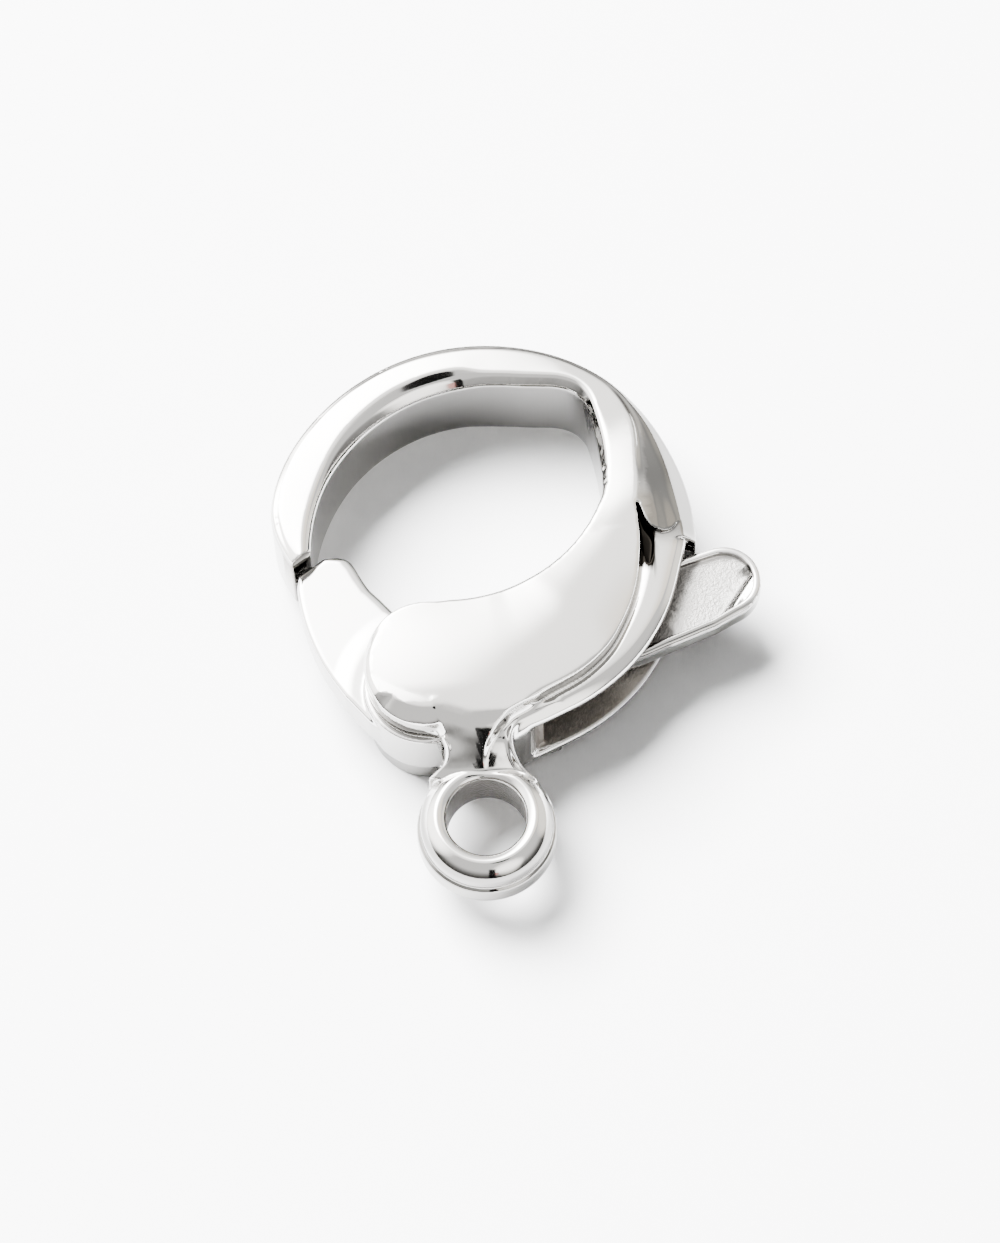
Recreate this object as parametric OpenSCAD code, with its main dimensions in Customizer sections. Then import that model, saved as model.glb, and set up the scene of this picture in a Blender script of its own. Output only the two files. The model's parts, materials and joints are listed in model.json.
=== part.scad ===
// Lobster clasp with a wide round hook, a comma-shaped cheek on each side,
// a sprung lever with a thumb tab, and a small round eye.
// It lies on its back: +Y runs from the eye to the hook, +Z is the thickness.
// Shapes are drawn about the centre of the round hook, at half thickness,
// and are moved to the part's own origin at the end.

/* [Hook] */
// Outer radius of the round hook
hook_r = 5.66; // [5.2:0.02:6.4]
// Radius of the opening inside the hook
opening_r = 4.66; // [4.3:0.02:4.8]
// Sideways offset of the opening's centre from the hook's centre
opening_dx = 0.20; // [0:0.02:0.3]
// Lengthways offset of the opening's centre from the hook's centre
opening_dy = -0.15; // [-0.25:0.02:0.1]
// Width of the bevel round the opening
inner_bevel_w = 0.25; // [0.1:0.01:0.35]
// Height of the bevel round the opening
inner_bevel_h = 0.28; // [0.1:0.01:0.4]
// Angle where the solid hook ends and the slot begins
root_angle = 3; // [1:0.5:8]

/* [Cheeks] */
// Thickness of the clasp over both cheeks
clasp_t = 4.1; // [3.9:0.05:4.6]
// Width of the slot between the cheeks
slot_w = 1.92; // [1.7:0.02:2.1]
// Outer radius of the flange beside the raised face
flange_r = 5.28; // [5.1:0.02:5.4]
// Height of the flange's top above the slot
flange_h = 0.48; // [0.35:0.01:0.6]
// Bevel on the flange's outer edge
flange_bevel = 0.14; // [0.05:0.01:0.2]
// Bevel on the edge of the raised face
face_bevel = 0.08; // [0.04:0.01:0.15]
// Radius of the round lobe over the lever's hub
lobe_r = 1.68; // [1.6:0.01:1.8]
// Width of the rolled edge round the lobe
lobe_roll = 0.30; // [0.2:0.01:0.35]
// Sideways place of the lobe's centre
lobe_x = -1.30; // [-1.5:0.05:-1.1]
// Lengthways place of the lobe's centre
lobe_y = -3.70; // [-3.9:0.05:-3.6]
// Radius of the cheek's hollow upper edge
sweep_r = 4.30; // [4.2:0.02:4.4]
// Sideways place of the centre of that upper edge
sweep_x = -0.95; // [-1.05:0.05:-0.85]
// Lengthways place of the centre of that upper edge
sweep_y = 2.35; // [2.25:0.05:2.45]

/* [Eye and neck] */
// Outer radius of the eye
eye_r = 1.75; // [1.6:0.01:1.95]
// Radius of the eye's hole
eye_bore_r = 1.05; // [0.8:0.01:1.15]
// Thickness of the eye
eye_t = 1.66; // [1.4:0.02:1.9]
// Sideways place of the eye
eye_x = 0.22; // [0:0.02:0.4]
// Lengthways distance of the eye from the hook's centre
eye_y = -7.54; // [-7.9:0.02:-7.4]
// Bevel on the eye's outer edges
eye_bevel = 0.16; // [0.08:0.01:0.25]
// Bevel on the edges of the eye's hole
bore_bevel = 0.10; // [0.04:0.01:0.15]
// Depth of the parting groove round the eye
groove_d = 0.05; // [0.03:0.01:0.08]
// Width of the neck between cheeks and eye
neck_w = 1.84; // [1.6:0.02:2.0]
// Sideways place of the neck's middle
neck_x = 0.09; // [0:0.01:0.2]
// Length of the neck's root inside the cheeks
neck_reach = 0.84; // [0.7:0.02:0.9]
// Length of the upper edge of the wedge that stops the open lever
stop_l = 1.40; // [1.2:0.05:1.5]
// Depth of that wedge
stop_depth = 0.60; // [0.5:0.02:0.7]
// Sideways place of the tip that stops the open lever
stop_x = 1.63; // [1.5:0.01:1.7]
// Lengthways place of that tip
stop_y = -4.69; // [-4.8:0.01:-4.6]
// Gap between that metal and the lever's hub
root_gap = 0.17; // [0.1:0.01:0.25]

/* [Lever] */
// Thickness of the lever's jaw and tab
lever_t = 1.2; // [1:0.05:1.4]
// Sideways place of the pivot
pivot_x = -1.40; // [-1.5:0.02:-1.3]
// Lengthways place of the pivot
pivot_y = -3.96; // [-4.0:0.02:-3.9]
// Radius of the lever's hub
hub_r = 1.60; // [1.4:0.02:1.66]
// Gap between the hub's faces and the cheeks
hub_gap = 0.08; // [0.06:0.01:0.12]
// Direction from the pivot to the mouth, where the jaw meets the hook
mouth_angle = 128; // [127:0.5:129]
// Distance from the pivot to the hook's end face
mouth_r = 4.81; // [4.75:0.01:4.9]
// Gap between the jaw's end and the hook's end
mouth_gap = 0.12; // [0.08:0.01:0.2]
// Distance from the pivot to the centre of the tab's round tip
arm_l = 8.39; // [8.2:0.02:8.7]
// Direction from the pivot to the tab
arm_angle = 21.9; // [21:0.1:22.4]
// Width of the rim round the tab's tray
tray_rim = 0.26; // [0.2:0.01:0.35]
// Radius of the tab's round tip
tab_tip_r = 0.98; // [0.8:0.01:1.0]
// Depth of the tab's tray
tray_depth = 0.22; // [0.1:0.01:0.35]

/* [Pin] */
// Radius of the pin
pin_r = 0.50; // [0.4:0.01:0.6]
// Radial gap between the pin and the lever's bore
pin_run_gap = 0.04; // [0.02:0.005:0.08]
// Radial gap between the pin and the holes in the cheeks
pin_seat_gap = 0.01; // [0.005:0.005:0.02]
// Gap at each end of the pin
pin_end_gap = 0.05; // [0.02:0.01:0.1]
// Metal left over each end of the pin
pin_cover = 0.35; // [0.25:0.05:0.45]

/* [Hidden] */
steel = [0.80, 0.79, 0.77];
lever_steel = [0.86, 0.85, 0.84];
pin_steel = [0.60, 0.60, 0.60];

half_t = clasp_t / 2;
slot_z = slot_w / 2;
flange_z = slot_z + flange_h;
eye_z = eye_t / 2;
lever_z = lever_t / 2;
lobe = [lobe_x, lobe_y];
sweep = [sweep_x, sweep_y];
opening = [opening_dx, opening_dy];
pivot = [pivot_x, pivot_y];
tab_tip = pivot + arm_l * [cos(arm_angle), sin(arm_angle)];
// Distance that separate solids run into each other where they are one casting
lap = 0.15;

// Point at radius r and angle a
function polar(r, a) = [r * cos(a), r * sin(a)];

// Points along an arc
function arc(centre, r, a0, a1, n) =
    [for (i = [0 : n]) centre + polar(r, a0 + (a1 - a0) * i / n)];

// Far crossing of a ray from the hook's centre with a circle
function ray_far(a, centre, r) =
    let (along = centre * polar(1, a))
    along + sqrt(max(0, r * r - centre * centre + along * along));

// Near crossing of the same ray
function ray_near(a, centre, r) =
    let (along = centre * polar(1, a))
    along - sqrt(max(0, r * r - centre * centre + along * along));

// Smooth step from 0 to 1 as a passes from a0 to a1
function ease(a, a0, a1) =
    let (u = min(1, max(0, (a - a0) / (a1 - a0))))
    u * u * (3 - 2 * u);

// Smooth value of one column of a table whose first column is an angle
function row_at(rows, a, i = 0) =
    (i >= len(rows) - 2 || a < rows[i + 1][0]) ? i : row_at(rows, a, i + 1);
function column(rows, a, c) =
    let (
        i = row_at(rows, a),
        p0 = rows[max(i - 1, 0)],
        p1 = rows[i],
        p2 = rows[i + 1],
        p3 = rows[min(i + 2, len(rows) - 1)],
        h = p2[0] - p1[0],
        u = min(1, max(0, (a - p1[0]) / h)),
        m1 = (p2[c] - p0[c]) / (p2[0] - p0[0]) * h,
        m2 = (p3[c] - p1[c]) / (p3[0] - p1[0]) * h
    )
    p1[c] * (1 + 2 * u) * (1 - u) * (1 - u) + m1 * u * (1 - u) * (1 - u)
    + p2[c] * u * u * (3 - 2 * u) - m2 * u * u * (1 - u);

// Sections of the solid hook, by angle round it
// Outer wall, as a share of hook_r
WALL = 1;
// Outer edge of the front face, as a share of hook_r
FACE = 2;
// Height of the front face, as a share of half_t
FRONT = 3;
// Depth of the back face, as a share of half_t
BACK = 4;
// Height of the outer bevel, as a share of half_t
DROP = 5;
// Ridge across the bevel, as a share of its width
RIDGE = 6;
HOOK_ROWS = [
    [0, 1.000, 0.735, 0.910, 1.00, 0.37, 0.37],
    [14, 1.000, 0.742, 0.870, 0.99, 0.35, 0.30],
    [28, 1.004, 0.815, 0.805, 0.93, 0.28, 0.16],
    [42, 1.008, 0.930, 0.745, 0.87, 0.16, 0.30],
    [56, 1.008, 0.978, 0.730, 0.84, 0.10, 0.40],
    [90, 1.000, 0.972, 0.725, 0.83, 0.10, 0.40],
    [135, 1.000, 0.970, 0.700, 0.80, 0.10, 0.40],
    [158, 1.005, 0.973, 0.675, 0.77, 0.10, 0.40],
    [170, 0.995, 0.954, 0.665, 0.75, 0.10, 0.40],
    [176, 0.970, 0.926, 0.660, 0.75, 0.10, 0.40],
    [182, 0.928, 0.890, 0.655, 0.74, 0.10, 0.40],
    [192, 0.845, 0.808, 0.650, 0.73, 0.10, 0.40]
];
// Angle past the mouth to which the hook is drawn before its end is cut
hook_past = 190;
hook_steps = 44;
hook_angles = [
    for (i = [0 : hook_steps]) hook_past + (root_angle - hook_past) * i / hook_steps
];
function hook_wall(a) = hook_r * column(HOOK_ROWS, a, WALL);

// The part's origin lies under the middle of its box
x_low = min([for (a = hook_angles) hook_wall(a) * cos(a)]);
x_high = tab_tip[0] + tab_tip_r;
y_low = eye_y - eye_r;
y_high = hook_r;
origin_x = (x_low + x_high) / 2;
origin_y = (y_low + y_high) / 2;

// Sections of the cheeks, by angle from the hook down to the lobe
// Outer wall, as a share of flange_r
RIM = 1;
// Edge of the raised face, as a share of flange_r
EDGE = 2;
// Height of the raised face, as a share of half_t
TOP = 3;
// Height of the back's raised face, as a share of half_t
UNDER = 4;
CHEEK_ROWS = [
    [-84, 1.050, 0.985, 1.00, 1.00],
    [-79, 1.040, 0.958, 1.00, 1.00],
    [-74, 1.020, 0.933, 1.00, 1.00],
    [-66, 1.003, 0.909, 1.00, 1.00],
    [-55, 1.000, 0.900, 1.00, 1.00],
    [-43, 1.000, 0.880, 1.00, 1.00],
    [-34, 1.000, 0.852, 0.99, 1.00],
    [-22, 1.000, 0.824, 0.97, 1.00],
    [-8, 1.000, 0.795, 0.935, 1.00],
    [3, 1.000, 0.794, 0.905, 1.00]
];

// Shoulder of the opening at the hook's narrowest place, as shares of opening_r
SHOULDER_ROWS = [
    [20, 0.726],
    [31, 0.794],
    [38, 0.843],
    [46, 0.918],
    [51, 0.975],
    [56, 1.032],
    [61, 1.055],
    [66, 1.045],
    [72, 1.012],
    [78, 0.985],
    [90, 0.967]
];

// Radius of the opening's edge at an angle: cheek, shoulder, round opening
function opening_edge(a) =
    let (
        shoulder = opening_r * column(SHOULDER_ROWS, a, 1),
        low = ease(a, 16, 26),
        high = ease(a, 78, 90)
    )
    a > 50 ? shoulder * (1 - high) + ray_far(a, opening, opening_r) * high
    : ray_far(a, sweep, sweep_r) * (1 - low) + shoulder * low;

// Radius of the cheek's inner edge, which leaves the opening for the lobe
lobe_start = -110;
lobe_join = -126;
function cheek_in(a) =
    let (w = ease(a, lobe_start, lobe_join))
    opening_edge(a) * (1 - w) + (w > 0 ? ray_near(a, lobe, lobe_r) * w : 0);

// Radius of the cheek's outer wall
lobe_angle = atan2(lobe_y, lobe_x);
lobe_dist = norm(lobe);
lobe_end = lobe_angle - asin(lobe_r / lobe_dist);
neck_right = CHEEK_ROWS[0][0];
neck_left = -100;
lobe_foot = -112;
function cheek_wall(a) =
    a > neck_right ? flange_r * column(CHEEK_ROWS, a, RIM)
    : let (w = ease(a, neck_left, lobe_foot))
      flange_r * CHEEK_ROWS[0][RIM] * (1 - w) + ray_far(a, lobe, lobe_r) * w;

// Radius of the raised face's outer edge, which rolls over at the lobe
function lobe_share(a) = ease(a, neck_left, lobe_foot);
function face_edge(a) =
    a > neck_right ? flange_r * column(CHEEK_ROWS, a, EDGE)
    : let (w = lobe_share(a))
      flange_r * CHEEK_ROWS[0][EDGE] * (1 - w) + (cheek_wall(a) - lobe_roll) * w;

// Closed loft through rings of the same number of points, with flat ends
module loft(rings) {
    n = len(rings[0]);
    m = len(rings);
    sides = [
        for (i = [0 : m - 2])
            for (j = [0 : n - 1])
                [i * n + j, i * n + (j + 1) % n, (i + 1) * n + (j + 1) % n, (i + 1) * n + j]
    ];
    first = [[for (j = [n - 1 : -1 : 0]) j]];
    last = [[for (j = [0 : n - 1]) (m - 1) * n + j]];
    polyhedron([for (ring = rings) each ring], concat(sides, first, last), convexity = 8);
}

// Ring of section points, given as radius and height, stood up at an angle
function stand(section, a) = [for (p = section) [p[0] * cos(a), p[0] * sin(a), p[1]]];

// Fall of the ridge, and place and fall of the band, as shares of the outer bevel
RIDGE_DROP = 0.12;
BAND = [0.68, 0.45];

// One side of the hook's section, from the opening to the outer wall
function hook_side(a, z, drop) =
    let (
        inner = opening_edge(a),
        wall = hook_wall(a),
        face = hook_r * column(HOOK_ROWS, a, FACE),
        ridge = face + (wall - face) * column(HOOK_ROWS, a, RIDGE),
        band = face + (wall - face) * BAND[0],
        open = ease(a, 14, 44),
        bevel_w = face_bevel + (inner_bevel_w - face_bevel) * open,
        bevel_h = face_bevel + (inner_bevel_h - face_bevel) * open
    )
    [
        [inner, z - bevel_h],
        [inner + bevel_w, z],
        [face, z],
        [ridge, z - drop * RIDGE_DROP],
        [band, z - drop * BAND[1]],
        [wall, z - drop]
    ];

function hook_section(a) =
    let (
        front = hook_side(a, half_t * column(HOOK_ROWS, a, FRONT), half_t * column(HOOK_ROWS, a, DROP)),
        back = hook_side(a, half_t * column(HOOK_ROWS, a, BACK), half_t * column(HOOK_ROWS, a, DROP))
    )
    concat(front, [for (i = [len(back) - 1 : -1 : 0]) [back[i][0], -back[i][1]]]);

module hook() {
    difference() {
        loft([for (a = hook_angles) stand(hook_section(a), a)]);
        // The hook's end face looks at the jaw across the mouth
        translate([pivot_x, pivot_y, -half_t])
            rotate(mouth_angle)
                translate([0, -hook_r, 0])
                    cube([mouth_r, 2 * hook_r, clasp_t]);
    }
}

// Section of one cheek: slot face, raised face, step and flange
function cheek_section(a, top) =
    let (
        inner = cheek_in(a),
        wall = max(cheek_wall(a), inner + 6 * face_bevel),
        edge = max(min(face_edge(a), wall - face_bevel), inner + 4 * face_bevel),
        high = top - 2 * face_bevel,
        shelf = flange_z + (high - flange_z) * lobe_share(a),
        slope = min(flange_bevel, (wall - edge) / 2)
    )
    [
        [inner, slot_z],
        [inner, top - face_bevel],
        [inner + face_bevel, top],
        [edge - face_bevel, top],
        [edge, top - face_bevel],
        [edge, shelf],
        [wall - slope, shelf - slope],
        [wall, shelf - 2 * slope],
        [wall, slot_z]
    ];

// Root of the cheek, well inside the solid hook
root_turn = asin(2 * lap / opening_r);
function root_section(section) =
    let (middle = (section[0] + section[3]) / 2)
    [for (p = section) middle + (p - middle) * 0.6];

// The cheek runs from the end of the solid hook to the end of the lobe
cheek_steps = 27;
lobe_steps = 14;
module cheek(column_no, hook_column) {
    root = cheek_section(root_angle, half_t * column(HOOK_ROWS, root_angle, hook_column));
    sweep_angles = [
        for (i = [1 : cheek_steps]) root_angle + (lobe_foot - root_angle) * i / cheek_steps
    ];
    lobe_angles = [
        for (i = [1 : lobe_steps])
            lobe_foot + (lobe_end + 0.6 - lobe_foot) * sin(90 * i / lobe_steps)
    ];
    loft(concat(
        [stand(root_section(root), root_angle + root_turn), stand(root, root_angle)],
        [
            for (a = concat(sweep_angles, lobe_angles))
                let (top = half_t * (a > neck_right ? min(1, column(CHEEK_ROWS, a, column_no)) : 1))
                stand(cheek_section(a, top), a)
        ]
    ));
}

// Sections of the neck, from inside the cheeks to the eye
// Width, as a share of neck_w
WIDTH = 1;
// Height above the eye's face, as a share of the way up to the cheeks' faces
RISE = 2;
NECK_ROWS = [
    [0.00, 1.00, 0.88],
    [0.16, 1.00, 0.88],
    [0.28, 1.00, 0.86],
    [0.40, 1.00, 0.76],
    [0.55, 1.00, 0.44],
    [0.70, 1.05, 0.20],
    [0.85, 1.20, 0.06],
    [1.00, 1.35, 0.00]
];
// Flat middle of the neck, as a share of its width, and its side bevel
NECK_FLAT = 0.72;
neck_bevel = 0.28;
neck_top = eye_y + eye_r + neck_reach;
neck_foot = eye_y + eye_bore_r + lap;
function neck_section(u) =
    let (
        y = neck_top + (neck_foot - neck_top) * u,
        x = neck_x + (eye_x - neck_x) * u * u,
        w = neck_w / 2 * column(NECK_ROWS, u, WIDTH),
        low = eye_z - eye_bevel / 2,
        z = low + (half_t - low) * column(NECK_ROWS, u, RISE),
        side = min(neck_bevel, z / 3)
    )
    [
        for (p = [[-NECK_FLAT, z], [NECK_FLAT, z], [1, z - side], [1, side - z],
                  [NECK_FLAT, -z], [-NECK_FLAT, -z], [-1, side - z], [-1, z - side]])
            [x + p[0] * w, y, p[1]]
    ];

// The neck falls in a hollow curve from the cheeks' faces to the eye
neck_steps = 14;
module neck() {
    loft([for (i = [0 : neck_steps]) neck_section(i / neck_steps)]);
}

// Solid metal between the cheeks at the neck.
// Its tip stops the lever when it is fully open.
module neck_root() {
    side = neck_w / 2 - lap;
    root_foot = (neck_top + neck_foot) / 2;
    linear_extrude(2 * (slot_z + lap), center = true)
        polygon([
            [neck_x - side, root_foot],
            [neck_x - side, neck_top],
            [stop_x - stop_l, stop_y - stop_depth / 10],
            [stop_x, stop_y],
            [stop_x - stop_depth / 2, stop_y - stop_depth],
            [neck_x + side, neck_top - stop_depth],
            [neck_x + side, root_foot]
        ]);
}

// Room between the cheeks in which the lever's hub turns
module hub_room() {
    translate([pivot_x, pivot_y, 0])
        cylinder(r = hub_r + root_gap, h = slot_w, center = true, $fn = 96);
}

module eye_ring() {
    translate([eye_x, eye_y, 0])
        rotate_extrude($fn = 96)
            polygon([
                [eye_bore_r / 2, -eye_z],
                [eye_r - eye_bevel, -eye_z],
                [eye_r, -eye_z + eye_bevel],
                [eye_r, -groove_d],
                [eye_r - groove_d, 0],
                [eye_r, groove_d],
                [eye_r, eye_z - eye_bevel],
                [eye_r - eye_bevel, eye_z],
                [eye_bore_r / 2, eye_z]
            ]);
}

// Hole through the eye, with a bevel at both ends
module eye_hole() {
    translate([eye_x, eye_y, 0]) {
        cylinder(r = eye_bore_r, h = clasp_t, center = true, $fn = 96);
        for (side = [0, 180])
            rotate([side, 0, 0])
                translate([0, 0, eye_z - bore_bevel])
                    cylinder(r1 = eye_bore_r, r2 = eye_bore_r + 2 * bore_bevel,
                             h = 2 * bore_bevel, $fn = 96);
    }
}

// Blind holes for the pin, open to the slot
module pin_holes() {
    translate([pivot_x, pivot_y, 0])
        cylinder(r = pin_r + pin_seat_gap, h = clasp_t - 2 * pin_cover, center = true, $fn = 64);
}

module at_origin() {
    translate([-origin_x, -origin_y, half_t]) children();
}

module body() {
    color(steel)
        at_origin()
            difference() {
                union() {
                    hook();
                    cheek(TOP, FRONT);
                    mirror([0, 0, 1]) cheek(UNDER, BACK);
                    neck();
                    neck_root();
                    eye_ring();
                }
                eye_hole();
                hub_room();
                pin_holes();
            }
}

// Sections of the jaw, by reach from the pivot as a share of mouth_r
// Direction of the inner edge and of the outer edge, seen from the pivot
INNER = 1;
OUTER = 2;
JAW_ROWS = [
    [0.30, 84, 252],
    [0.37, 97, 203],
    [0.45, 107, 183],
    [0.52, 112, 172],
    [0.60, 115, 163.3],
    [0.68, 117.5, 156.4],
    [0.76, 118.2, 150.5],
    [0.84, 118.4, 145.4],
    [0.90, 119.2, 141.8],
    [0.94, 121.7, 139.6]
];
// Reach of the jaw's end face to its inner and outer side, as shares of mouth_r
JAW_END = [0.03, 0.134];
// Outline of the jaw: inner edge, end face, outer edge
module jaw_plan() {
    end_r = mouth_r - mouth_gap;
    side = polar(1, mouth_angle - 90);
    n = len(JAW_ROWS) - 1;
    foot = pivot + polar(end_r, mouth_angle);
    polygon(concat(
        [for (row = JAW_ROWS) pivot + polar(mouth_r * row[0], row[INNER])],
        [foot + JAW_END[0] * mouth_r * side, foot - JAW_END[1] * mouth_r * side],
        [for (i = [n : -1 : 0]) pivot + polar(mouth_r * JAW_ROWS[i][0], JAW_ROWS[i][OUTER])]
    ));
}

// Sections of the arm, by distance from the pivot as a share of arm_l
// Upper and lower edge, as shares of tab_tip_r from the arm's middle line
UPPER = 1;
LOWER = 2;
ARM_ROWS = [
    [0.17, 0.85, 0.74],
    [0.37, 0.75, 0.40],
    [0.61, 0.90, 1.16],
    [0.78, 0.98, 1.16],
    [0.90, 1.03, 1.12]
];
TRAY_FROM = 2;
// Outline of the arm from one of those sections to the tab's round tip
module arm_plan(from, inset) {
    rows = [for (i = [from : len(ARM_ROWS) - 1]) ARM_ROWS[i]];
    n = len(rows) - 1;
    translate(pivot)
        rotate(arm_angle)
            polygon(concat(
                [for (row = rows) [arm_l * row[0], tab_tip_r * row[UPPER] - inset]],
                arc([arm_l, 0], tab_tip_r - inset, 90, -90, 18),
                [for (i = [n : -1 : 0]) [arm_l * rows[i][0], inset - tab_tip_r * rows[i][LOWER]]]
            ));
}

module lever() {
    color(lever_steel)
        at_origin()
            difference() {
                union() {
                    linear_extrude(lever_t, center = true) {
                        jaw_plan();
                        arm_plan(0, 0);
                    }
                    translate([pivot_x, pivot_y, 0])
                        cylinder(r = hub_r, h = slot_w - 2 * hub_gap, center = true, $fn = 96);
                }
                translate([0, 0, lever_z - tray_depth])
                    linear_extrude(lever_t)
                        arm_plan(TRAY_FROM, tray_rim);
                translate([pivot_x, pivot_y, 0])
                    cylinder(r = pin_r + pin_run_gap, h = clasp_t, center = true, $fn = 64);
            }
}

module pivot_pin() {
    color(pin_steel)
        at_origin()
            translate([pivot_x, pivot_y, 0])
                cylinder(r = pin_r, h = clasp_t - 2 * (pin_cover + pin_end_gap), center = true, $fn = 64);
}

body();
lever();
pivot_pin();
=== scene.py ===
"""Looks of a polished steel lobster clasp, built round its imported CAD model.

The clasp lies on its back on a pale floor. The body and the lever are each
built from lofted blanks in millimetres about the centre of the round hook,
fused, smoothed and set down in the frame in metres.
"""

import json
import logging
import math
from dataclasses import dataclass
from enum import Enum
from typing import Callable, Sequence

import bpy
import numpy as np
from mathutils import Matrix, Vector

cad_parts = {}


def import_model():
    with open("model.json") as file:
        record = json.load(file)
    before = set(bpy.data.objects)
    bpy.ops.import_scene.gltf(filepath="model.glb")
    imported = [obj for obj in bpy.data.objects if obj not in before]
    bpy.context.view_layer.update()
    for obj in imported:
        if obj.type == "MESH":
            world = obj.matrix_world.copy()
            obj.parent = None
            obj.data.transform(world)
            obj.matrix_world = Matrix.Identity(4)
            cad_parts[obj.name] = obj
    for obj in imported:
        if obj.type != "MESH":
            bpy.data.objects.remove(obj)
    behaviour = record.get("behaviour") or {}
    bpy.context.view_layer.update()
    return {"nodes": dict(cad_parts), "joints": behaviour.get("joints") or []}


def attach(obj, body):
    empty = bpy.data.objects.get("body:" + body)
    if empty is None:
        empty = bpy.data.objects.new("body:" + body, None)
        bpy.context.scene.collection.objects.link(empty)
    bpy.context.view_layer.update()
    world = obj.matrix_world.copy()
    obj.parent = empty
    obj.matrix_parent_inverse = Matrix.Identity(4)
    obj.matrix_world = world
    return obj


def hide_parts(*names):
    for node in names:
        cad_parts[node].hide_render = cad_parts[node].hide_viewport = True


LOG = logging.getLogger("clasp")
MM = 0.001
HALF_THICK = 2.05
SLOT = 0.96
PIVOT = (-1.40, -3.96)
MOUTH_ANGLE = 128.0
BLACK = (0.01, 0.01, 0.01)
# near black of the painted shade in hollows, gaps and shaded spots
PAINTED_SHADE_TONE = (0.004, 0.0035, 0.003)

Piece = bpy.types.Object
Socket = bpy.types.NodeSocket
Tree = bpy.types.NodeTree
Place = tuple[float, float]
Corner = tuple[float, float, float]
Tone = tuple[float, float, float]
Section = Callable[[float], np.ndarray]


class Side(Enum):
    """Which cheek of the clasp a piece belongs to."""

    FRONT = 1
    BACK = -1


# ---- shape tools


@dataclass(frozen=True)
class Course:
    """Listed values along an angle or a length, read smoothly between rows."""

    rows: tuple[tuple[float, ...], ...]

    def at(self, place: float, column: int = 1) -> float:
        """Value of one column.

        Args:
            place: Angle or length, read against the first column.
            column: Which value of the row.

        Returns:
            The value, held constant outside the rows.
        """
        rows = self.rows
        i = 0
        while i < len(rows) - 2 and place >= rows[i + 1][0]:
            i += 1
        before, low = rows[max(i - 1, 0)], rows[i]
        high, after = rows[i + 1], rows[min(i + 2, len(rows) - 1)]
        span = high[0] - low[0]
        u = min(1.0, max(0.0, (place - low[0]) / span))
        m_low = (high[column] - before[column]) / (high[0] - before[0]) * span
        m_high = (after[column] - low[column]) / (after[0] - low[0]) * span
        rest = 1 - u
        return (
            low[column] * (1 + 2 * u) * rest * rest
            + m_low * u * rest * rest
            + high[column] * u * u * (3 - 2 * u)
            - m_high * u * u * rest
        )


def ease(value: float, start: float, end: float) -> float:
    """Smooth step from 0 at start to 1 at end."""
    u = min(1.0, max(0.0, (value - start) / (end - start)))
    return u * u * (3 - 2 * u)


def ray(angle: float, centre: Place, radius: float, far: bool = True) -> float:
    """Distance along a ray from the hook's centre to a circle.

    Args:
        angle: Direction of the ray, in degrees.
        centre: Centre of the circle.
        radius: Radius of the circle.
        far: The further of the two crossings, or the nearer.

    Returns:
        The distance.
    """
    a = math.radians(angle)
    along = centre[0] * math.cos(a) + centre[1] * math.sin(a)
    half = math.sqrt(max(0.0, radius**2 - centre[0] ** 2 - centre[1] ** 2 + along**2))
    return along + half if far else along - half


def rounded(corners: Sequence[Corner], arc: int = 5, straight: int = 4) -> np.ndarray:
    """Closed outline with each corner rounded.

    Args:
        corners: Corners as two coordinates and the length that the rounding takes.
        arc: Steps round each corner.
        straight: Steps along each straight.

    Returns:
        The outline's points.
    """
    places = np.array([corner[:2] for corner in corners], float)
    before, after = np.roll(places, 1, 0), np.roll(places, -1, 0)
    to_before, to_after = before - places, after - places
    len_before = np.linalg.norm(to_before, axis=1)[:, None]
    len_after = np.linalg.norm(to_after, axis=1)[:, None]
    reach = np.array([[corner[2]] for corner in corners])
    into = places + to_before / len_before * np.minimum(reach, 0.48 * len_before)
    out = places + to_after / len_after * np.minimum(reach, 0.48 * len_after)
    points = []
    for i, place in enumerate(places):
        for step in range(arc + 1):
            u = step / arc
            points.append((1 - u) ** 2 * into[i] + 2 * u * (1 - u) * place + u * u * out[i])
        following = into[(i + 1) % len(places)]
        for step in range(1, straight):
            points.append(out[i] + (following - out[i]) * step / straight)
    return np.array(points)


def deselect() -> None:
    """Leave edit mode and select nothing."""
    if bpy.context.object and bpy.context.object.mode != "OBJECT":
        bpy.ops.object.mode_set(mode="OBJECT")
    bpy.ops.object.select_all(action="DESELECT")


def pick(piece: Piece) -> None:
    """Make a piece the only selected one, and the active one.

    Args:
        piece: The piece.
    """
    deselect()
    piece.select_set(True)
    bpy.context.view_layer.objects.active = piece


def apply(piece: Piece, kind: str, **settings: object) -> None:
    """Add a modifier and apply it.

    Args:
        piece: The piece to change.
        kind: Blender's name for the modifier.
        settings: The modifier's values.
    """
    pick(piece)
    modifier = piece.modifiers.new(kind.title(), kind)
    for name, value in settings.items():
        setattr(modifier, name, value)
    bpy.ops.object.modifier_apply(modifier=modifier.name)


def points_of(piece: Piece) -> np.ndarray:
    """Vertex places of a piece.

    Args:
        piece: The piece.

    Returns:
        The places, one row each.
    """
    places = np.empty(len(piece.data.vertices) * 3)
    piece.data.vertices.foreach_get("co", places)
    return places.reshape(-1, 3)


def put_points(piece: Piece, places: np.ndarray) -> None:
    """Write a piece's vertex places."""
    piece.data.vertices.foreach_set("co", np.ascontiguousarray(places).ravel())
    piece.data.update()


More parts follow.
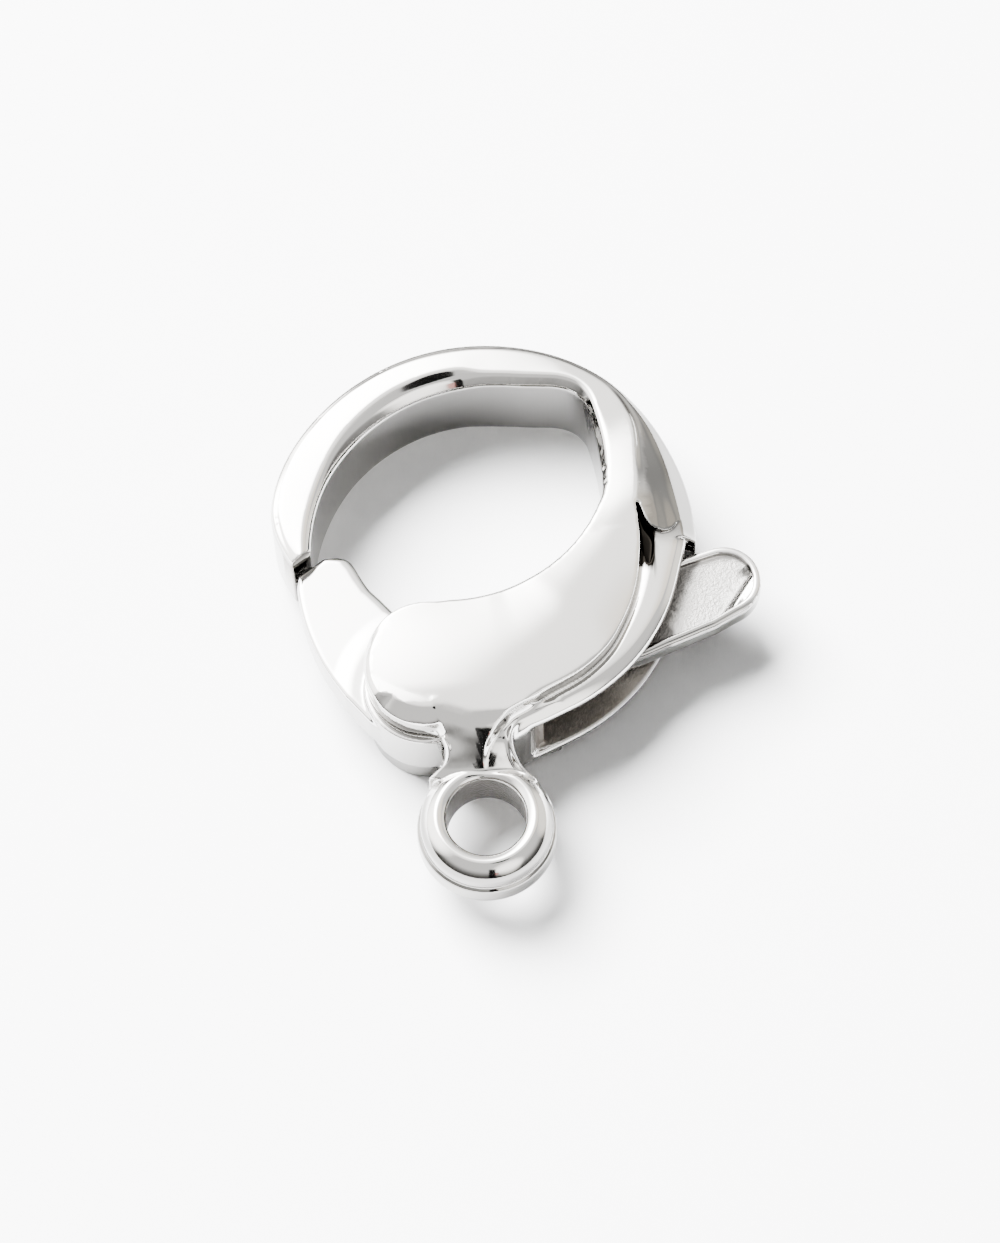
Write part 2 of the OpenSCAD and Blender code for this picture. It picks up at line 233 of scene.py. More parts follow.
def close_ends(piece: Piece, ends: Sequence[np.ndarray]) -> None:
    """Fill each open end with a face and turn all faces outwards.

    Args:
        piece: The open tube.
        ends: The vertex numbers of each end, or nothing where the ends meet and are joined.
    """
    pick(piece)
    for end in ends:
        bpy.ops.object.mode_set(mode="EDIT")
        bpy.ops.mesh.select_mode(type="VERT")
        bpy.ops.mesh.select_all(action="DESELECT")
        bpy.ops.object.mode_set(mode="OBJECT")
        chosen = np.zeros(len(piece.data.vertices), bool)
        chosen[end] = True
        piece.data.vertices.foreach_set("select", chosen)
        bpy.ops.object.mode_set(mode="EDIT")
        bpy.ops.mesh.edge_face_add()
    bpy.ops.object.mode_set(mode="EDIT")
    bpy.ops.mesh.select_all(action="SELECT")
    if not ends:
        bpy.ops.mesh.remove_doubles(threshold=0.0005)
    bpy.ops.mesh.normals_make_consistent(inside=False)
    bpy.ops.object.mode_set(mode="OBJECT")


def tube(name: str, count: int, steps: int) -> tuple[Piece, np.ndarray, np.ndarray]:
    """Spin a circle into a half ring, the raw stock of every loft.

    Args:
        name: Name of the blank.
        count: Points round the circle.
        steps: Number of stations after the first.

    Returns:
        The blank, and the station and the number round the circle of each vertex.
    """
    ring_r = 4
    deselect()
    bpy.ops.mesh.primitive_circle_add(
        vertices=count, radius=1, location=(ring_r, 0, 0), rotation=(math.pi / 2, 0, 0)
    )
    piece = bpy.context.object
    piece.name = name
    bpy.ops.object.transform_apply(location=True, rotation=True, scale=True)
    first = points_of(piece)[0]
    offset = math.atan2(first[2], first[0] - ring_r)
    bpy.ops.object.mode_set(mode="EDIT")
    bpy.ops.mesh.select_mode(type="VERT")
    bpy.ops.mesh.select_all(action="SELECT")
    bpy.ops.mesh.spin(steps=steps, angle=math.pi, center=(0, 0, 0), axis=(0, 0, 1))
    bpy.ops.object.mode_set(mode="OBJECT")
    x, y, z = points_of(piece).T
    station = np.round(np.abs(np.arctan2(y, x)) / math.pi * steps).astype(int)
    round_it = np.arctan2(z, np.hypot(x, y) - ring_r)
    number = np.round((round_it - offset) / (2 * math.pi / count)).astype(int) % count
    return piece, station, number


def drawn(name: str, section: Section, steps: int, ring: bool = False) -> Piece:
    """Loft a section along a course from 0 to 1.

    Args:
        name: Name of the blank.
        section: Gives the three coordinates of each point at a share of the way.
        steps: Number of stations after the first.
        ring: The last station meets the first, so there are no ends to close.

    Returns:
        The closed blank.
    """
    sections = np.array([section(i / steps) for i in range(steps + 1)])
    piece, station, number = tube(name, sections.shape[1], steps)
    put_points(piece, sections[station, number])
    close_ends(piece, [] if ring else [np.flatnonzero(station == end) for end in (0, steps)])
    return piece


def stood(flat: np.ndarray, angle: float) -> np.ndarray:
    """Stand a section of radii and heights up at an angle in degrees."""
    a = math.radians(angle)
    return np.column_stack([flat[:, 0] * math.cos(a), flat[:, 0] * math.sin(a), flat[:, 1]])


def swept(name: str, section: Section, start: float, end: float, steps: int) -> Piece:
    """Loft a section round the hook's centre.

    Args:
        name: Name of the blank.
        section: Gives radius and height of each point at an angle.
        start: First angle, in degrees.
        end: Last angle, in degrees.
        steps: Number of stations after the first.

    Returns:
        The closed blank.
    """

    def placed(u: float) -> np.ndarray:
        """Section in space at a share of the way."""
        angle = start + (end - start) * u
        return stood(section(angle), angle)

    return drawn(name, placed, steps)


def plate(name: str, outline: np.ndarray, low: float, high: float, edge: float = 0.0) -> Piece:
    """Flat blank with a given outline and, if asked, rounded edges.

    Args:
        name: Name of the blank.
        outline: Points of the outline, in plan.
        low: Height of the underside.
        high: Height of the top.
        edge: Width of the rounding on both rims.

    Returns:
        The closed blank.
    """
    count = len(outline)
    piece = drawn(
        name, lambda u: np.column_stack([outline, np.full(count, low + (high - low) * u)]), 1
    )
    if edge:
        height = np.round(points_of(piece)[:, 2], 5)
        weights = piece.data.attributes.new("bevel_weight_edge", "FLOAT", "EDGE")
        for rim in piece.data.edges:
            first, last = rim.vertices
            if height[first] == height[last]:
                weights.data[rim.index].value = 1.0
        apply(
            piece, "BEVEL", width=edge, segments=4, limit_method="WEIGHT", use_clamp_overlap=False
        )
    return piece


def rod(name: str, centre: Place, radius: float, low: float, high: float) -> Piece:
    """Upright round blank.

    Args:
        name: Name of the blank.
        centre: Place of its axis in plan.
        radius: Its radius.
        low: Height of its foot.
        high: Height of its top.

    Returns:
        The blank.
    """
    deselect()
    bpy.ops.mesh.primitive_cylinder_add(
        vertices=160, radius=radius, depth=high - low, location=(*centre, (low + high) / 2)
    )
    bpy.ops.object.transform_apply(location=True, rotation=True, scale=True)
    bpy.context.object.name = name
    return bpy.context.object


def combine(piece: Piece, others: Sequence[Piece], operation: str) -> None:
    """Add or cut other blanks, which are used up.

    Args:
        piece: The blank that stays.
        others: The blanks to add or cut.
        operation: UNION or DIFFERENCE.
    """
    for other in others:
        apply(piece, "BOOLEAN", object=other, operation=operation, solver="MANIFOLD")
        bpy.data.objects.remove(other, do_unlink=True)


def fuse(piece: Piece, voxel: float, smoothing: int) -> None:
    """Melt a piece's blanks into one skin, as in a casting, and smooth it."""
    apply(piece, "REMESH", mode="VOXEL", voxel_size=voxel, use_smooth_shade=True)
    apply(piece, "SMOOTH", factor=0.5, iterations=smoothing)


def thin_out(piece: Piece, triangles: int) -> None:
    """Drop the triangles that flat and gently curved places don't need.

    Args:
        piece: The piece.
        triangles: How many may stay.
    """
    ratio = triangles / (2 * len(piece.data.polygons))
    if ratio < 1:
        apply(piece, "DECIMATE", ratio=ratio)


def neighbours_mean(
    piece: Piece, places: np.ndarray, rounds: int, weight: np.ndarray
) -> np.ndarray:
    """Smooth the places of some vertices.

    Args:
        piece: Gives the edges.
        places: The places to smooth.
        rounds: Number of rounds.
        weight: Share of the smoothing that each vertex takes.

    Returns:
        The smoothed places.
    """
    edges = np.empty(len(piece.data.edges) * 2, int)
    piece.data.edges.foreach_get("vertices", edges)
    edges = edges.reshape(-1, 2)
    count = np.bincount(edges.ravel(), minlength=len(places)).astype(float)[:, None]
    count[count == 0] = 1
    share = weight[:, None] * 0.5
    for _ in range(rounds):
        total = np.zeros_like(places)
        for axis in range(3):
            total[:, axis] = np.bincount(
                edges[:, 0], places[edges[:, 1], axis], len(places)
            ) + np.bincount(edges[:, 1], places[edges[:, 0], axis], len(places))
        places = places + (total / count - places) * share
    return places


def polar(x: np.ndarray, y: np.ndarray, centre: Place = (0, 0)) -> tuple[np.ndarray, np.ndarray]:
    """Distance from a centre in plan, as a rule the hook's, and direction in degrees."""
    dx, dy = x - centre[0], y - centre[1]
    return np.hypot(dx, dy), np.degrees(np.arctan2(dy, dx))


def mouth_axes() -> tuple[np.ndarray, np.ndarray]:
    """Directions from the pivot to the mouth and across it."""
    a = math.radians(MOUTH_ANGLE)
    return np.array([math.cos(a), math.sin(a)]), np.array([math.sin(a), -math.cos(a)])


def band(values: np.ndarray, low: float, high: float, soft: float) -> np.ndarray:
    """Tell how far each value lies between two limits.

    Args:
        values: The values.
        low: Lower limit.
        high: Upper limit.
        soft: Length over which the share fades at each limit.

    Returns:
        Shares from 0 outside to 1 inside.
    """
    rise = np.clip((values - low) / soft + 0.5, 0, 1)
    fall = np.clip((high - values) / soft + 0.5, 0, 1)
    return (rise * rise * (3 - 2 * rise)) * (fall * fall * (3 - 2 * fall))


def ease_all(values: np.ndarray, start: float, end: float) -> np.ndarray:
    """Smooth step of each value, from 0 at start to 1 at end."""
    u = np.clip((values - start) / (end - start), 0, 1)
    return u * u * (3 - 2 * u)


def mark(piece: Piece, name: str, values: np.ndarray) -> None:
    """Store one number per vertex for the finish to read."""
    layer = piece.data.attributes.new(name, "FLOAT", "POINT")
    layer.data.foreach_set("value", np.clip(values, 0, 1).astype(np.float32))


def mark_wall_shade(piece: Piece, extra_shade: np.ndarray | float = 0.0) -> None:
    """Store how upright the surface stands, for the painted shade on walls.

    Args:
        piece: The piece.
        extra_shade: Share of each vertex that gets the painted wall shade for another reason.
    """
    normals = np.empty(len(piece.data.vertices) * 3, np.float32)
    piece.data.vertices.foreach_get("normal", normals)
    upright = 1 - np.clip(normals.reshape(-1, 3)[:, 2], 0, 1)
    # painted shade: upright walls and the extra share take the darker wall tone
    mark(piece, "wall", np.maximum(band(upright, 0.72, 2, 0.45), extra_shade))


def wear(piece: Piece, finish: bpy.types.Material) -> None:
    """Give a piece its one material."""
    piece.data.materials.clear()
    piece.data.materials.append(finish)


def set_down(piece: Piece, name: str, body: str, node: str, offset: Vector) -> None:
    """Turn a finished blank into a piece of the clasp, in metres, in the frame.

    Args:
        piece: The blank, in millimetres about the hook's centre.
        name: Name of the piece.
        body: Moving body that it rides on.
        node: Solid that it stands for.
        offset: Place of the hook's centre in the frame, in millimetres.
    """
    piece.data.transform(Matrix.Scale(MM, 4) @ Matrix.Translation(offset))
    piece.data.update()
    piece.name = piece.data.name = name
    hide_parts(node)
    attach(piece, body)
    LOG.info("%s: %d faces", name, len(piece.data.polygons))


# ---- finishes


def add_node(tree: Tree, kind: str, inputs: dict, **values: object) -> bpy.types.Node:
    """Add a node.

    Args:
        tree: Where it goes.
        kind: Its kind, without the leading ShaderNode.
        inputs: What each input is set to, or linked from.
        values: Its other values.

    Returns:
        The node.
    """
    made = tree.nodes.new("ShaderNode" + kind)
    for name, value in values.items():
        setattr(made, name, value)
    for name, value in inputs.items():
        if isinstance(value, Socket):
            tree.links.new(value, made.inputs[name])
        else:
            made.inputs[name].default_value = value
    return made


def blend(tree: Tree, share: Socket, first: Tone | Socket, second: Tone) -> Socket:
    """Mix two colours by a share.

    Args:
        tree: Where the node goes.
        share: Where the share comes from.
        first: Colour at a share of 0, a tone or a socket.
        second: Colour at a share of 1.

    Returns:
        The mixed colour.
    """
    start = first if isinstance(first, Socket) else (*first, 1)
    inputs = {"Factor": share, "A": start, "B": (*second, 1)}
    return add_node(tree, "Mix", inputs, data_type="RGBA").outputs["Result"]


def ramp(tree: Tree, value: Socket, low: float, high: float, kind: str = "LINEAR") -> Socket:
    """Share of the way from low to high that a value has gone."""
    inputs = {"From Min": low, "From Max": high, "Value": value}
    return add_node(tree, "MapRange", inputs, interpolation_type=kind).outputs["Result"]


@dataclass(frozen=True)
class Steel:
    """Polished stainless steel, rougher where the mould's skin is left, with painted shade."""

    name: str
    tone: Tone
    gloss: float
    wall_shade_tone: Tone
    cast_tone: Tone
    cast_roughness: float

    def build(self) -> bpy.types.Material:
        """Build the node material.

        Returns:
            The material.
        """
        material = bpy.data.materials.new(self.name)
        material.use_nodes = True
        tree = material.node_tree
        shader = tree.nodes["Principled BSDF"]
        shader.inputs["Metallic"].default_value = 1.0
        place = add_node(tree, "TexCoord", {}).outputs["Object"]
        cast, wall, painted_shade = (
            add_node(tree, "Attribute", {}, attribute_name=name).outputs["Fac"]
            for name in ("cast", "wall", "painted_shade")
        )
        haze = add_node(tree, "TexNoise", {"Scale": 900.0, "Detail": 3.0, "Vector": place})
        polish = add_node(tree, "MapRange", {
            "To Min": self.gloss * 0.8, "To Max": self.gloss * 1.3, "Value": haze.outputs["Fac"],
        })
        rough = add_node(
            tree, "Mix",
            {"Factor": cast, "A": polish.outputs["Result"], "B": self.cast_roughness},
            data_type="FLOAT",
        )
        # painted shade: upright walls take the darker wall tone
        colour = blend(tree, wall, self.tone, self.wall_shade_tone)
        colour = blend(tree, cast, colour, self.cast_tone)
        # painted shade: the marked share pulls the colour towards near black
        colour = blend(tree, painted_shade, colour, PAINTED_SHADE_TONE)
        grain = add_node(tree, "TexNoise", {"Scale": 15000.0, "Detail": 4.0, "Vector": place})
        depth = add_node(tree, "Math", {0: cast, 1: grain.outputs["Fac"]}, operation="MULTIPLY")
        bump = add_node(
            tree, "Bump", {"Distance": 0.00003, "Strength": 0.8, "Height": depth.outputs["Value"]}
        )
        tree.links.new(rough.outputs["Result"], shader.inputs["Roughness"])
        tree.links.new(colour, shader.inputs["Base Color"])
        tree.links.new(bump.outputs["Normal"], shader.inputs["Normal"])
        return material


BODY_STEEL = Steel(
    "polished_steel", (0.69, 0.68, 0.665), 0.07, (0.255, 0.25, 0.24), (0.26, 0.235, 0.21), 0.42
)
LEVER_STEEL = Steel(
    "lever_steel", (0.70, 0.69, 0.68), 0.08, (0.27, 0.265, 0.255), (0.50, 0.49, 0.48), 0.40
)
PIN_STEEL = Steel(
    "drawn_steel", (0.62, 0.62, 0.62), 0.3, (0.4, 0.4, 0.4), (0.5, 0.5, 0.5), 0.4
)


# ---- castings


@dataclass
class Casting:
    """A cast piece: its blanks are fused, polished, thinned out and given a finish."""

    voxel: float = 0.034
    smoothing: int = 5
    triangles: int = 190000

    def blank(self) -> Piece:
        """The joined blanks."""
        raise NotImplementedError

    def polish(self, piece: Piece) -> None:
        """Refine the fused skin."""
        raise NotImplementedError

    def marks(self, piece: Piece) -> None:
        """Store what the finish reads."""
        raise NotImplementedError

    def build(self, steel: Steel) -> Piece:
        """Make the piece, in millimetres about the hook's centre.

        Args:
            steel: Its finish.

        Returns:
            The piece.
        """
        piece = self.blank()
        fuse(piece, self.voxel, self.smoothing)
        self.polish(piece)
        thin_out(piece, self.triangles)
        self.marks(piece)
        wear(piece, steel.build())
        return piece


# ---- clasp's body

HOOK = Course((
    # angle, outer wall, face's edge, ridge, band, face height, back height, fall of band, of wall
    (0, 5.66, 4.18, 4.66, 5.15, 1.866, 2.03, 0.31, 0.86),
    (14, 5.66, 4.20, 4.65, 5.20, 1.784, 2.02, 0.35, 0.88),
    (28, 5.68, 4.61, 4.74, 5.34, 1.650, 1.90, 0.36, 0.76),
    (42, 5.70, 5.26, 5.32, 5.52, 1.527, 1.78, 0.17, 0.40),
    (56, 5.70, 5.54, 5.58, 5.65, 1.497, 1.72, 0.09, 0.21),
    (90, 5.66, 5.50, 5.54, 5.61, 1.486, 1.70, 0.09, 0.21),
    (135, 5.66, 5.50, 5.54, 5.61, 1.435, 1.64, 0.09, 0.21),
    (158, 5.69, 5.51, 5.56, 5.64, 1.384, 1.58, 0.09, 0.21),
    (170, 5.63, 5.40, 5.46, 5.56, 1.363, 1.54, 0.09, 0.21),
    (176, 5.49, 5.24, 5.30, 5.42, 1.353, 1.54, 0.09, 0.21),
    (182, 5.25, 5.04, 5.10, 5.19, 1.343, 1.52, 0.09, 0.21),
    (192, 4.78, 4.57, 4.63, 4.72, 1.333, 1.50, 0.09, 0.21),
))
ROLL = Course((
    # angle, width of the soft roll between the hook's face and its inner bevel
    (40, 0.04), (80, 0.04), (90, 0.06), (98, 0.21), (117, 0.23), (132, 0.16), (150, 0.09),
    (180, 0.07),
))
SHOULDER = Course((
    # angle, radius of the opening's edge
    (20, 3.385), (31, 3.70), (38, 3.93), (46, 4.28), (51, 4.54), (56, 4.81),
    (61, 4.92), (66, 4.87), (72, 4.71), (78, 4.59), (90, 4.506),
))
CHEEK = Course((
    # angle, outer wall, face's edge, flange's inner line, height of the face
    (-100, 5.55, 4.70, 5.38, 2.05),
    (-89, 5.55, 4.92, 5.38, 2.05),
    (-84, 5.55, 5.16, 5.36, 2.05),
    (-79, 5.49, 5.06, 5.30, 2.05),
    (-74, 5.39, 4.93, 5.12, 2.05),
    (-66, 5.30, 4.80, 4.97, 2.05),
    (-55, 5.28, 4.75, 4.92, 2.05),
    (-43, 5.28, 4.66, 4.84, 2.05),
    (-34, 5.28, 4.53, 4.72, 2.03),
    (-22, 5.28, 4.39, 4.63, 1.99),
    (-8, 5.29, 4.24, 4.54, 1.917),
    (3, 5.42, 4.19, 4.50, 1.855),
))
NECK = Course((
    # distance below the centre, left edge, face's right edge, strip's right edge, two heights
    (4.60, -1.30, 1.62, 2.20, 2.01, 1.43),
    (4.85, -1.30, 1.17, 1.55, 1.982, 1.43),
    (5.05, -1.22, 0.84, 1.22, 1.955, 1.43),
    (5.20, -1.15, 0.69, 1.06, 1.905, 1.43),
    (5.35, -1.08, 0.56, 0.95, 1.84, 1.42),
    (5.50, -1.00, 0.45, 0.91, 1.735, 1.40),
    (5.65, -0.93, 0.34, 0.92, 1.58, 1.34),
    (5.80, -0.86, 0.24, 0.95, 1.39, 1.24),
    (5.95, -0.85, 0.19, 1.01, 1.20, 1.12),
    (6.10, -0.90, 0.17, 1.10, 1.01, 0.975),
    (6.20, -1.00, 0.17, 1.18, 0.895, 0.88),
    (6.30, -1.15, 0.17, 1.32, 0.79, 0.785),
    (6.46, -1.33, 0.17, 1.55, 0.66, 0.66),
))
# Outlines in plan, each corner with the length that its rounding takes.
STEP = (
    (4.24, 0.60, 0.02), (4.33, 0.44, 0.08), (4.47, 0.26, 0.12), (4.66, 0.19, 0.12),
    (4.88, 0.20, 0.12), (5.06, 0.31, 0.12), (5.17, 0.50, 0.06), (5.30, 0.62, 0.06),
    (5.90, 0.62, 0.06), (5.90, -0.40, 0.02), (4.24, -0.40, 0.02),
)
WEDGE = (
    (-0.70, -5.65, 0.02), (-0.70, -4.95, 0.02), (0.23, -4.75, 0.02), (1.63, -4.69, 0.05),
    (1.33, -5.29, 0.05), (0.90, -5.55, 0.02), (0.90, -5.65, 0.02),
)
POCKET = (
    (4.04, 1.10, 0.02), (4.13, 0.50, 0.1), (4.18, 0.05, 0.1), (4.25, -0.30, 0.1),
    (4.44, -0.74, 0.02), (4.54, -0.40, 0.1), (4.56, 0.04, 0.06), (4.50, 0.22, 0.06),
    (4.31, 0.50, 0.1), (4.19, 0.82, 0.1),
)
# Room in the slot for the open lever's arm: a sharp outline.
STOP_ROOM = (
    (-1.30, -4.40), (-1.30, -5.00), (0.23, -4.84), (0.90, -4.82), (1.63, -4.79),
    (2.60, -4.72), (2.60, -4.40),
)


@dataclass
class Body(Casting):
    """The cast body: hook, two cheeks, neck and eye."""

    opening: Place = (0.20, -0.15)
    opening_r: float = 4.66
    sweep: Place = (-0.95, 2.35)
    sweep_r: float = 4.30
    lobe: Place = (-1.30, -3.70)
    lobe_r: float = 1.68
    lobe_foot: float = -112.0
    neck_left: float = -100.0
    hook_end: float = 3.0
    tongue_end: float = 1.0
    flange_top: float = 1.44
    eye: Place = (0.22, -7.54)
    eye_r: float = 1.75
    eye_bore_r: float = 1.05
    eye_half: float = 0.83
    mouth_r: float = 4.81
    hub_room_r: float = 1.77
    pin_hole_r: float = 0.51
    pin_half: float = 1.7
    crown: float = 0.030
    side_crown: float = 0.012
    roll_slope: float = 0.80
    nick_depth: float = 0.10

    def opening_edge(self, angle: float) -> float:
        """Radius of the opening's edge.

        Args:
            angle: Direction from the hook's centre, in degrees.

        Returns:
            The radius: the sweep, then the shoulder, then the round opening.
        """
        shoulder = SHOULDER.at(angle)
        if angle > 50:
            high = ease(angle, 78, 90)
            return shoulder * (1 - high) + ray(angle, self.opening, self.opening_r) * high
        low = ease(angle, 16, 26)
        return ray(angle, self.sweep, self.sweep_r) * (1 - low) + shoulder * low

    def beyond_opening(self, r: np.ndarray, a: np.ndarray, turns: np.ndarray) -> np.ndarray:
        """How far outside the opening's edge each place lies, read at the turns given."""
        return r - np.interp(a, turns, [self.opening_edge(turn) for turn in turns])

    def hook_side(self, angle: float, side: Side) -> list[Corner]:
        """Corners of one side of the hook's section, from the opening outwards.

        Args:
            angle: Direction from the hook's centre, in degrees.
            side: Front or back.

        Returns:
            Radius, height above the middle, and rounding of each corner.
        """
        column = 5 if side is Side.FRONT else 6
        wall, face, ridge, line = (HOOK.at(angle, c) for c in (1, 2, 3, 4))
        top, line_fall, wall_fall = (HOOK.at(angle, c) for c in (column, 7, 8))
        inner = self.opening_edge(angle)
        open_ = ease(angle, 14, 44)
        roll = ROLL.at(angle)
        fine = open_ * (1 - 0.65 * ease(angle, 138, 165))
        bevel_w, bevel_h = 0.05 + 0.17 * fine, 0.06 + 0.20 * fine
        roll_w, roll_h = 0.05 + roll * open_, 0.01 + 0.46 * roll * open_
        shoulder = 1 - ease(angle, 34, 54)
        return [
            (inner, top - bevel_h - roll_h, 0.04 + 0.03 * open_),
            (inner + bevel_w, top - roll_h, 0.03 + 0.25 * roll),
            (inner + bevel_w + roll_w, top, 0.05),
            ((inner + bevel_w + roll_w + face) / 2, top - 0.026 * open_, 0.5),
            (face, top - 0.012 - 0.045 * open_, 0.05),
            (ridge, top - 0.057 - 0.045 * open_ - 0.05 * shoulder, 0.03),
            (line, top - line_fall, 0.06 + 0.10 * shoulder),
            (wall, top - wall_fall, 0.14),
        ]

    def hook_section(self, angle: float) -> np.ndarray:
        """Section of the hook.

        Args:
            angle: Direction from the hook's centre, in degrees.

        Returns:
            Radius and height of each point.
        """
        front = self.hook_side(angle, Side.FRONT)
        back = self.hook_side(angle, Side.BACK)
        return rounded(front + [(r, -z, soft) for r, z, soft in reversed(back)])

    def cheek_in(self, angle: float) -> float:
        """Radius of the cheek's inner edge.

        Args:
            angle: Direction from the hook's centre, in degrees.

        Returns:
            The radius: the opening's edge, then the near side of the lobe.
        """
        share = ease(angle, -110, -126)
        edge = self.opening_edge(angle) * (1 - share)
        return edge + (ray(angle, self.lobe, self.lobe_r, far=False) * share if share else 0)

    def cheek_section(self, angle: float) -> np.ndarray:
        """Section of a cheek: raised face, step and flange, which fade out on the lobe.

        Args:
            angle: Direction from the hook's centre, in degrees.

        Returns:
            Radius and height of each point.
        """
        lobe = ease(angle, self.neck_left, self.lobe_foot)
        inner = self.cheek_in(angle)
        wall, edge, line, top = (CHEEK.at(angle, c) for c in (1, 2, 3, 4))
        if lobe:
            round_it = ray(angle, self.lobe, self.lobe_r)
            wall = wall * (1 - lobe) + (round_it - 0.04) * lobe
            edge = edge * (1 - lobe) + (round_it - 0.40) * lobe
            line = line * (1 - lobe) + (round_it - 0.28) * lobe
        line = min(line, wall - 0.16)
        edge = min(edge, line - 0.08)
        open_ = 1 - lobe
        shelf = self.flange_top * open_ + top * lobe
        dip = 0.012 * (1 - ease(angle, -68, -84))
        return rounded([
            (inner, SLOT, 0.04),
            (inner, top - 0.07, 0.04),
            (inner + 0.05, top - dip, 0.04),
            ((inner + edge) / 2, top, 0.5),
            (edge - 0.02, top - dip, 0.04),
            (edge, shelf - 0.07 * open_, 0.04),
            (line, shelf, 0.05),
            (wall - 0.20, shelf - 0.10 * open_, 0.08 * open_ + 0.01),
            (wall, shelf - 0.26 * open_, 0.08 * open_ + 0.01),
            (wall, SLOT, 0.05),
        ])

    def cheek(self, side: Side) -> Piece:
        """Blank of one cheek, from inside the hook to the middle of the lobe.

        Args:
            side: Front or back.

        Returns:
            The blank.
        """

        def section(u: float) -> np.ndarray:
            """Section in space, along the cheek.

            Args:
                u: Share of the way.

            Returns:
                The three coordinates of each point.
            """
            angle = 6.0 - (6.0 + 130.0) * u
            flat = self.cheek_section(min(angle, self.hook_end))
            if angle > self.hook_end:
                middle = flat.mean(0)
                flat = middle + (flat - middle) * 0.85
            return stood(flat * (1, side.value), angle)

        return drawn(f"cheek_{side.name.lower()}", section, 180)

    def neck(self) -> list[Piece]:
        """Blanks of the neck: the face's part falls in a hollow curve, beside a lower strip.

        Returns:
            The face's blank, and the wider, lower one of the strip.
        """
        top, foot = NECK.rows[0][0], NECK.rows[-1][0]

        def part(name: str, left: int, right: int, height: int) -> Piece:
            """Loft of one part.

            Args:
                name: Name of the blank.
                left: Column of NECK with its left edge.
                right: Column with its right edge.
                height: Column with the height of its top.

            Returns:
                The blank.
            """

            def section(u: float) -> np.ndarray:
                """Section in space, down the neck.

                Args:
                    u: Share of the way.

                Returns:
                    The three coordinates of each point.
                """
                y = -top - (foot - top) * u
                x0, x1, z = (NECK.at(-y, c) for c in (left, right, height))
                low = -NECK.at(-y, 4)
                soft, sharp = 0.12, 0.06
                flat = rounded([
                    (x0, z - soft, 0.1), (x0 + soft, z, 0.1), (x1 - sharp, z, 0.05),
                    (x1, z - sharp, 0.05), (x1, low + soft, 0.1), (x1 - soft, low, 0.1),
                    (x0 + soft, low, 0.1), (x0, low + soft, 0.1),
                ])
                return np.column_stack([flat[:, 0], np.full(len(flat), y), flat[:, 1]])

            return drawn(name, section, 60)

        return [part("neck_face", 1, 2, 4), part("neck_strip", 1, 3, 5)]

    def eye_ring(self) -> Piece:
        """Blank of the eye, a rounded ring with a parting groove.

        Returns:
            The blank.
        """
        half, groove, rim, bore = self.eye_half, 0.045, self.eye_r, self.eye_bore_r

        def section(u: float) -> np.ndarray:
            """Section in space, round the eye.

            Args:
                u: Share of the way.

            Returns:
                The three coordinates of each point.
            """
            flat = rounded([
                (bore, half - 0.16, 0.04), (bore + 0.05, half - 0.08, 0.04),
                (bore + 0.25, half, 0.08), (rim - 0.23, half - 0.14, 0.12),
                (rim - 0.03, half - 0.38, 0.12), (rim - 0.01, groove * 1.4, 0.03),
                (rim - groove, 0, 0.02), (rim + 0.07, -groove * 1.6, 0.03),
                (rim + 0.09, -half + 0.16, 0.12), (rim - 0.06, -half, 0.12),
                (bore + 0.13, -half, 0.12), (bore, -half + 0.13, 0.06),
            ])
            return stood(flat, 360 * u) + (*self.eye, 0)

        return drawn("eye", section, 180, ring=True)

    def blank(self) -> Piece:
        """All the blanks joined, with the holes and gaps cut.

        Returns:
            The joined blank.
        """
        hook = swept("hook", self.hook_section, 190, self.tongue_end, 190)
        out, side = mouth_axes()
        corners = ((0.5, -6), (0.5, 4), (self.mouth_r, 4), (self.mouth_r, -6))
        mouth = np.array([np.array(PIVOT) + out * r + side * width for r, width in corners])
        step = plate("step", rounded(STEP), self.flange_top - 0.06, 2.4)
        combine(hook, [plate("mouth", mouth, -3, 3), step], "DIFFERENCE")
        blanks = [
            self.cheek(Side.FRONT), self.cheek(Side.BACK),
            rod("lobe_front", self.lobe, self.lobe_r, SLOT, HALF_THICK),
            rod("lobe_back", self.lobe, self.lobe_r, -HALF_THICK, -SLOT),
            *self.neck(),
            plate("wedge", rounded(WEDGE), -SLOT - 0.15, SLOT + 0.15),
            self.eye_ring(),
        ]
        combine(hook, blanks, "UNION")
        holes = [
            rod("bore", self.eye, self.eye_bore_r, -2, 2),
            rod("hub_room", PIVOT, self.hub_room_r, -SLOT, SLOT),
            rod("pin_hole", PIVOT, self.pin_hole_r, -self.pin_half, self.pin_half),
            plate("stop_room", np.array(STOP_ROOM), -SLOT, SLOT),
            plate("pocket", rounded(POCKET), 1.02, 2.4),
        ]
        combine(hook, holes, "DIFFERENCE")
        return hook

    def polish(self, piece: Piece) -> None:
        """Crown the cheek, roll the lobe's edge over and blend the neck in.

        Args:
            piece: The fused body.
        """
        places = points_of(piece)
        front = band(places[:, 2], 1.5, 3, 0.3)
        self.crown_cheek(places, front)
        self.roll_lobe(places)
        self.nick_opening(places, front)
        put_points(piece, self.blend_neck(piece, places))

    def crown_cheek(self, places: np.ndarray, front: np.ndarray) -> None:
        """Crown the cheek's face across its width and, less, from side to side.

        Args:
            places: Vertex places, changed here.
            front: Share of each vertex that is on the front face.
        """
        x, y, _ = places.T
        r, a = polar(x, y)
        cheek = ease_all(-a, -25, 30) * front
        places[:, 2] -= cheek * self.crown * np.square(np.clip(r - 3.5, -2.5, 1.4))
        places[:, 2] -= cheek * self.side_crown * np.square(x - 0.3)

